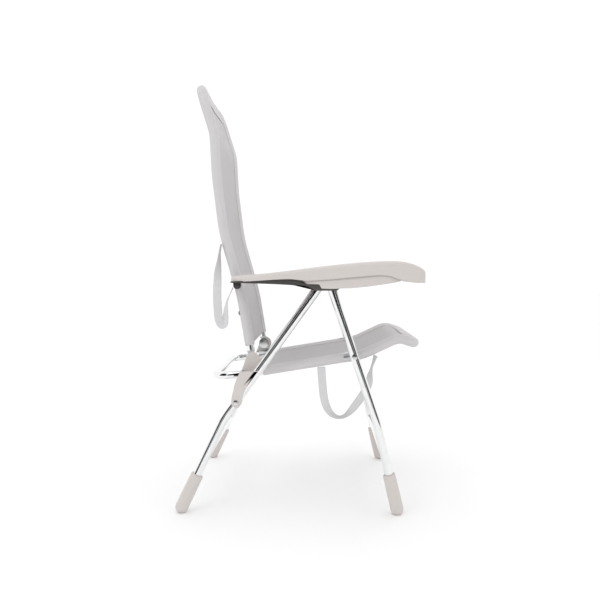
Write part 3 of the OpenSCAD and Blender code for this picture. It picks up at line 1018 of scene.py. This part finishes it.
@dataclass
class FootSleeve:
    """Plastic sleeves on the feet: round below, flat where they stand, with a rolled upper rim.

    wall_taper is (share of the length, share of the radius), rim_roll (drop below the top, share of
    the radius), and legs gives each leg's lower end and the point its sleeve aims at.
    """

    radius: float = 0.017
    bore: float = 0.01108
    length: float = 0.095
    wall_taper: tuple[tuple[float, float], ...] = ((0.3, 1.0), (0.72, 0.985), (0.9, 0.965))
    rim_roll: tuple[tuple[float, float], ...] = (
        (0.0042, 0.955), (0.0022, 0.935), (0.0007, 0.885), (0.0, 0.80),
    )
    legs: dict[Body, tuple[Point, Point]] = field(
        default_factory=lambda: {
            Body.FRONT_LEGS: ((0.256, 0.270, 0.014), (0.202, 0.281, 0.242)),
            Body.REAR_LEGS: ((-0.307, 0.270, 0.014), (-0.196, 0.258, 0.246)),
        }
    )

    def profile(self) -> list[tuple[float, float]]:
        """Half circle, slightly tapered wall, rolled rim and bore, as (distance, radius)."""
        quarter = np.linspace(-math.pi / 2.0, 0.0, 14)
        ball = [(self.radius * math.sin(a), max(0.0, self.radius * math.cos(a))) for a in quarter]
        wall = [(share * self.length, taper * self.radius) for share, taper in self.wall_taper]
        roll = [(self.length - drop, taper * self.radius) for drop, taper in self.rim_roll]
        hole = [
            (self.length, self.bore + 0.0006), (self.length - 0.0006, self.bore), (0.004, self.bore),
            (-0.0006, self.bore), (-0.0006, 0.0),
        ]
        return [*ball, *wall, *roll, *hole]

    def build(self) -> None:
        """Makes the four sleeves, each pressed flat at the floor."""
        for body, (tip, knee) in self.legs.items():
            word = "front" if body is Body.FRONT_LEGS else "rear"
            for name, side in SIDES.items():
                base = (tip[0], side * tip[1], tip[2])
                axis = tuple(np.array([knee[0], side * knee[1], knee[2]]) - np.array(base))
                shape = turned(self.profile(), base, axis, 56)
                shape.points[:, 2] = np.maximum(shape.points[:, 2], 0.0002)
                piece = shape.piece(f"{word}_sleeve_{name}", 1e-6)
                show(crisp(piece, 50.0), WARM_PLASTIC, body, Slot.PLASTIC, f"{word}_foot_{name}")


@dataclass
class LinkArm:
    """A moulded link: two cheeks and a rear web round the rear leg, and a head by the seat hinge.

    The outline is the link's closed side view. The cheeks are its lower part, the head its upper part,
    and a step joins them where the link cranks inwards.
    """

    inner: float = 0.2434
    outer: float = 0.2696
    cheek: float = 0.003
    head_inner: float = 0.2188
    head_thickness: float = 0.005
    web_inset: float = 0.001
    web_thickness: float = 0.003
    web_heights: tuple[float, float] = (0.320, 0.370)
    web_front: float = -0.1475
    outer_top: float = 0.372
    inner_top: float = 0.356
    head_foot: float = 0.352
    round_edge: float = 0.0009
    step: tuple[tuple[float, float], ...] = (
        (-0.1585, 0.356), (-0.1475, 0.356), (-0.1445, 0.3635), (-0.1555, 0.3635),
    )
    outline: list[tuple[float, float]] = field(
        default_factory=lambda: [
            (-0.1640, 0.2755), (-0.1545, 0.2785), (-0.1490, 0.2890), (-0.1455, 0.3060), (-0.1385, 0.3250),
            (-0.1260, 0.3500), (-0.1135, 0.3740), (-0.1060, 0.3900), (-0.1060, 0.4030), (-0.1150, 0.4140),
            (-0.1290, 0.4160), (-0.1400, 0.4060), (-0.1475, 0.3850), (-0.1560, 0.3640), (-0.1655, 0.3420),
            (-0.1715, 0.3180), (-0.1755, 0.2980), (-0.1745, 0.2840),
        ]
    )

    @staticmethod
    def rounded(points: list[tuple[float, float]], count: int = 12) -> Array:
        """A closed curve through control points: the uniform Catmull-Rom cubic between each pair."""
        p = np.array(points, float)
        a, b, c, d = np.roll(p, 1, 0), p, np.roll(p, -1, 0), np.roll(p, -2, 0)
        t = np.linspace(0.0, 1.0, count, endpoint=False)[None, :, None]
        a, b, c, d = (q[:, None] for q in (a, b, c, d))
        bend, twist = 2 * a - 5 * b + 4 * c - d, 3 * b - a - 3 * c + d
        return (0.5 * (2 * b + (c - a) * t + bend * t**2 + twist * t**3)).reshape(-1, 2)

    def build(self) -> None:
        """Makes both links."""
        whole = self.rounded(self.outline)
        x, z = whole.T
        low, high = self.web_heights
        rear = whole[(z > low) & (z < high) & (x < self.web_front)]
        web = np.concatenate([rear, rear[::-1] + np.array([self.web_thickness, 0.0])])
        web_end = self.outer + self.cheek - self.web_inset
        shape, *others = (
            plate(outline, start, end, self.round_edge)
            for outline, start, end in (
                (np.stack([x, np.minimum(z, self.outer_top)], -1), self.outer, self.outer + self.cheek),
                (np.stack([x, np.minimum(z, self.inner_top)], -1), self.inner, self.inner + self.cheek),
                (web, self.inner + self.web_inset, web_end),
                (np.array(self.step), self.head_inner + self.web_inset, web_end),
                (
                    np.stack([x, np.maximum(z, self.head_foot)], -1),
                    self.head_inner,
                    self.head_inner + self.head_thickness,
                ),
            )
        )
        for other in others:
            shape += other
        for name, side in SIDES.items():
            placed = shape if side > 0 else shape.mirrored()
            placed = Surface(placed.points, placed.faces)
            piece = placed.piece(f"link_arm_{name}", 1e-7)
            show(crisp(piece), WARM_PLASTIC, Body.LINKS, Slot.PLASTIC, f"link_{name}")


@dataclass(frozen=True)
class TurnedPin:
    """A pivot pin with rounded heads, the same on both sides of the chair.

    Each collar is (inner y, outer y, diameter), listed from the inside outwards.
    """

    name: str
    node: str
    body: Body
    place: tuple[float, float]
    collars: tuple[tuple[float, float, float], ...]
    finish: Finish = STEEL
    rounding: float = 0.0009

    def profile(self) -> list[tuple[float, float]]:
        """The outline of the collars one after another, with its corners rounded."""
        line = [(self.collars[0][0], 0.0)]
        for low, high, diameter in self.collars:
            line += [(low, diameter / 2.0), (high, diameter / 2.0)]
        return soft_corners([*line, (self.collars[-1][1], 0.0)], self.rounding)

    def build(self) -> None:
        """Makes the pair as one piece."""
        x, z = self.place
        left = turned(self.profile(), (x, 0.0, z), (0.0, 1.0, 0.0), 32)
        right = turned(self.profile(), (x, 0.0, z), (0.0, -1.0, 0.0), 32)
        pair = (left + right).piece(self.name, 1e-7)
        show(crisp(pair), self.finish, self.body, Slot.PIN, self.node)


class KeptNodes:
    """CAD nodes whose shape is right, dressed in their finishes."""

    finishes: ClassVar[dict[Slot, tuple[Finish, tuple[str, ...]]]] = {
        Slot.TUBE: (
            POLISHED,
            (
                "seat_frame", "seat_front_bar", "back_frame", "back_lower_bar", "front_leg_left",
                "front_leg_right", "rear_leg_left", "rear_leg_right", "front_crossbar", "rear_crossbar",
            ),
        ),
        Slot.BRACKET: (CAST, ("seat_hinge_brackets", "seat_pivot_brackets")),
        Slot.RACK: (DARK_NYLON_AND_SHADE, ("arm_rack_left", "arm_rack_right")),
        Slot.INNER: (
            PALE_PLASTIC,
            ("back_knuckles", "leg_end_plugs_front", "leg_end_plugs_rear", "arm_spacers"),
        ),
    }

    def build(self) -> None:
        """Dresses each kept node."""
        for slot, (finish, names) in self.finishes.items():
            for name in names:
                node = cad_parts[name]
                finish.dress(node)
                LOG.info("%s keeps its frame mesh, in %s", name, finish.name)


@dataclass
class Studio:
    """Camera, floor, lights and the sky they stand in.

    A lamp is (name, place, target, size, power), and a flag is (name, middle, width, height, turn in
    degrees about the upright).
    """

    eye: Point = (0.0525, -2.047, 0.630)
    yaw: float = 1.58
    pitch: float = -2.33
    lens: float = 41.34
    sensor: float = 36.0
    floor_size: float = 40.0
    sky: float = 1.05
    lamps: tuple[tuple[str, Point, Point, float, float], ...] = (
        ("key_light", (-1.3, -2.0, 2.4), (0.0, 0.0, 0.5), 1.2, 7.0),
        ("rim_light", (0.6, 2.2, 2.2), (0.0, 0.0, 0.5), 1.6, 5.0),
    )
    flags: tuple[tuple[str, Point, float, float, float], ...] = (
        ("flag_front", (0.1, -3.4, 1.71), 4.4, 3.4, 0.0),
        ("flag_right", (3.3, -2.0, 1.71), 2.6, 3.4, 56.0),
        ("flag_left", (-3.2, -2.0, 1.71), 2.6, 3.4, -56.0),
        ("flag_overhead", (0.0, 0.4, 3.6), 3.0, 0.5, 0.0),
    )

    def place_camera(self) -> None:
        """Makes the camera at the eye, turned by yaw to the left and pitch below the horizon."""
        data = bpy.data.cameras.new("eye")
        data.lens, data.sensor_width = self.lens, self.sensor
        data.clip_start, data.clip_end = 0.05, 100.0
        made = bpy.data.objects.new("eye", data)
        made.location = self.eye
        made.rotation_euler = (math.radians(90.0 + self.pitch), 0.0, math.radians(self.yaw))
        bpy.context.scene.collection.objects.link(made)
        bpy.context.scene.camera = made

    def lay_floor(self) -> None:
        """Makes the floor, a square grid just under the feet."""
        reach = self.floor_size / 2.0
        x, y = np.meshgrid(np.linspace(-reach, reach, 5), np.linspace(-reach, reach, 5), indexing="ij")
        floor = Surface.grid(np.stack([x, y, np.full_like(x, -0.0002)], -1)).piece("floor")
        Paper("pale_floor").dress(floor)

    def hang_lights(self) -> None:
        """Makes the soft lamps, each a square that looks at its target."""
        for name, place, target, size, power in self.lamps:
            data = bpy.data.lights.new(name, "AREA")
            data.size, data.energy = size, power
            made = bpy.data.objects.new(name, data)
            made.location = place
            aim = Vector(target) - Vector(place)
            made.rotation_euler = aim.to_track_quat("-Z", "Y").to_euler()
            bpy.context.scene.collection.objects.link(made)

    def stand_flags(self) -> None:
        """Makes the black flags, which only polished surfaces see."""
        for name, place, width, height, turn in self.flags:
            x, z = np.meshgrid([-width / 2.0, width / 2.0], [-height / 2.0, height / 2.0], indexing="ij")
            a = math.radians(turn)
            points = np.stack([x * math.cos(a), x * math.sin(a), z], -1) + np.array(place)
            flag = Flag("black_flag").dress(Surface.grid(points).piece(name))
            flag.visible_camera = flag.visible_diffuse = flag.visible_shadow = False

    def fill_sky(self) -> None:
        """Makes an even white sky."""
        world = bpy.data.worlds.new("sky")
        bpy.context.scene.world = world
        world.use_nodes = True
        back = world.node_tree.nodes["Background"]
        back.inputs["Color"].default_value = (1.0, 1.0, 1.0, 1.0)
        back.inputs["Strength"].default_value = self.sky
        bpy.context.scene.view_settings.view_transform = "Standard"

    def build(self) -> None:
        """Makes all of it but the camera, which comes first."""
        self.lay_floor()
        self.hang_lights()
        self.stand_flags()
        self.fill_sky()


BACK_STRAP = Strap(
    "back_strap",
    "back_handle",
    Body.BACK,
    [
        (-0.209, 0.704), (-0.213, 0.683), (-0.215, 0.657), (-0.218, 0.632), (-0.219, 0.608),
        (-0.220, 0.582), (-0.220, 0.556), (-0.219, 0.536), (-0.218, 0.515), (-0.215, 0.498),
        (-0.210, 0.487), (-0.204, 0.485), (-0.199, 0.493), (-0.198, 0.509), (-0.197, 0.526),
        (-0.195, 0.548), (-0.189, 0.565), (-0.182, 0.577), (-0.178, 0.588),
    ],
    [(0.0, 0.0), (0.10, 8.0), (0.22, 50.0), (0.34, 84.0), (0.60, 80.0), (0.66, 62.0), (0.74, 55.0),
     (0.86, 20.0), (1.0, 0.0)],
)
SEAT_STRAP = Strap(
    "seat_strap",
    "seat_handle",
    Body.SEAT,
    [
        (0.059, 0.376), (0.060, 0.352), (0.062, 0.330), (0.064, 0.308), (0.067, 0.287),
        (0.073, 0.268), (0.083, 0.252), (0.096, 0.242), (0.111, 0.239), (0.126, 0.246),
        (0.141, 0.261), (0.157, 0.282), (0.169, 0.299), (0.179, 0.316), (0.187, 0.335),
        (0.189, 0.354), (0.194, 0.378), (0.200, 0.395), (0.204, 0.407),
    ],
    [(0.0, 84.0), (0.28, 80.0), (0.36, 45.0), (0.42, 6.0), (0.48, 12.0), (0.56, 62.0), (0.74, 80.0),
     (0.82, 55.0), (0.88, 8.0), (0.95, 6.0), (1.0, 30.0)],
)
BACK_SLING = Sling(
    "back_sling",
    "back_fabric",
    Body.BACK,
    [
        (-0.131, 0.420), (-0.155, 0.566), (-0.203, 0.737), (-0.221, 0.885), (-0.227, 1.000),
        (-0.2663, 1.125),
    ],
    [0.0, 0.5, 0.5, 0.7, 0.13, 0.0],
    start=0.014,
    corner_radius=0.052,
    rests_on=["back_frame"],
    faces_up=False,
    bow=(0.0029, 0.0041),
)
SEAT_SLING = Sling(
    "seat_sling",
    "seat_fabric",
    Body.SEAT,
    [(-0.150, 0.3555), (0.168, 0.4084), (0.214, 0.430), (0.266, 0.4544), (0.309, 0.440)],
    [0.0, 0.14, 0.0, 0.046, 0.0],
    start=0.053,
    corner_radius=0.022,
    rests_on=["seat_frame", "seat_front_bar"],
    faces_up=True,
    hem_reach=0.020,
    lift=0.0045,
    sag=0.007,
)
PINS = (
    TurnedPin(
        "seat_bolts", "seat_pivot_bolts", Body.SEAT, (0.144, 0.413),
        ((0.2185, 0.2926, 0.008), (0.2926, 0.2956, 0.015)), STEEL, 0.0012,
    ),
    TurnedPin(
        "hinge_discs", "hinge_pins", Body.HINGE_PINS, (-0.127, 0.398),
        ((0.1907, 0.1949, 0.033), (0.1949, 0.2184, 0.008)),
    ),
    TurnedPin("leg_pins", "apex_pins", Body.REAR_LEGS, (0.074, 0.620), ((0.2425, 0.2972, 0.008),)),
    TurnedPin(
        "link_rivets", "link_pins", Body.REAR_LEGS, (-0.164, 0.290),
        ((0.2406, 0.2430, 0.013), (0.2430, 0.2730, 0.008), (0.2730, 0.2754, 0.013)),
    ),
    TurnedPin(
        "arm_discs", "arm_pins", Body.ARM_PINS, (-0.163, 0.595),
        (
            (0.1889, 0.1909, 0.014), (0.1909, 0.2275, 0.008), (0.2275, 0.2315, 0.020),
            (0.2315, 0.2444, 0.008), (0.2444, 0.2464, 0.014),
        ),
        DARK_DISC,
    ),
)


def main() -> None:
    """Builds the chair in order: camera and cords, cloth, plastic, metal, studio."""
    logging.basicConfig(level=logging.INFO, format="%(name)s: %(message)s")
    studio = Studio()
    studio.place_camera()
    for strap in (BACK_STRAP, SEAT_STRAP):
        strap.build()
    for sling in (BACK_SLING, SEAT_SLING):
        sling.build()
    Armrest().build()
    FootSleeve().build()
    LinkArm().build()
    for pin in PINS:
        pin.build()
    KeptNodes().build()
    studio.build()


if __name__ == "__main__":
    main()
